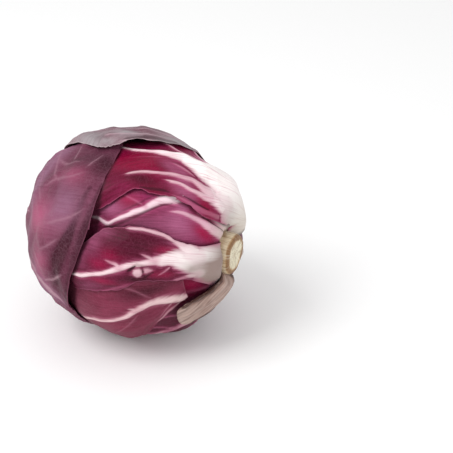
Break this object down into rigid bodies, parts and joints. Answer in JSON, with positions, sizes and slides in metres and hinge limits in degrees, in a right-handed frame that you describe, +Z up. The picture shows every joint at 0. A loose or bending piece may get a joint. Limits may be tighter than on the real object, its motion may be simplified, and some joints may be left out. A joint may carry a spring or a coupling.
{
  "type": "radicchio head",
  "caption": "Round head of red radicchio lying on its side: overlapping purple and magenta leaves with white midribs, closed over a tight heart on a short cut stem.",
  "frame": {"origin": "on the surface that the head lies on, under the middle of its bounding box", "axes": "+X along the head's long axis, towards the cut stem; -Y is the front, where the overlapping midribs show; +Z up"},
  "size_m": [0.1227, 0.1184, 0.1161],
  "materials": {
    "outer_leaf_grey": "dull grey-mauve leaf with a waxy bloom",
    "outer_leaf_purple": "dusky purple leaf, satin",
    "outer_leaf_magenta": "deep magenta leaf with white midrib, satin",
    "inner_leaf": "crimson leaf with white midrib, satin",
    "heart": "pink, satin",
    "cut_rib": "tan dried leaf stalk, matt",
    "stem": "cream stem with a brown dried cut, matt"
  },
  "bodies": {
    "root": {"stem_core": "stem", "heart_bud": "heart", "trimmed_leaf_base": "cut_rib", "wrapper_leaf_top": "outer_leaf_grey", "wrapper_leaf_cap": "outer_leaf_purple", "outer_leaf_front": "outer_leaf_magenta", "outer_leaf_upper": "outer_leaf_magenta", "outer_leaf_lower": "outer_leaf_magenta", "outer_leaf_back": "outer_leaf_purple", "outer_leaf_middle": "outer_leaf_magenta", "outer_leaf_low": "outer_leaf_magenta", "outer_leaf_under": "outer_leaf_purple", "inner_leaf_01": "inner_leaf", "inner_leaf_02": "inner_leaf", "inner_leaf_03": "inner_leaf", "inner_leaf_04": "inner_leaf", "inner_leaf_05": "inner_leaf", "inner_leaf_06": "inner_leaf", "inner_leaf_07": "inner_leaf", "inner_leaf_08": "inner_leaf", "inner_leaf_09": "inner_leaf", "inner_leaf_10": "inner_leaf", "inner_leaf_11": "inner_leaf", "inner_leaf_12": "inner_leaf"}
  },
  "joints": []
}
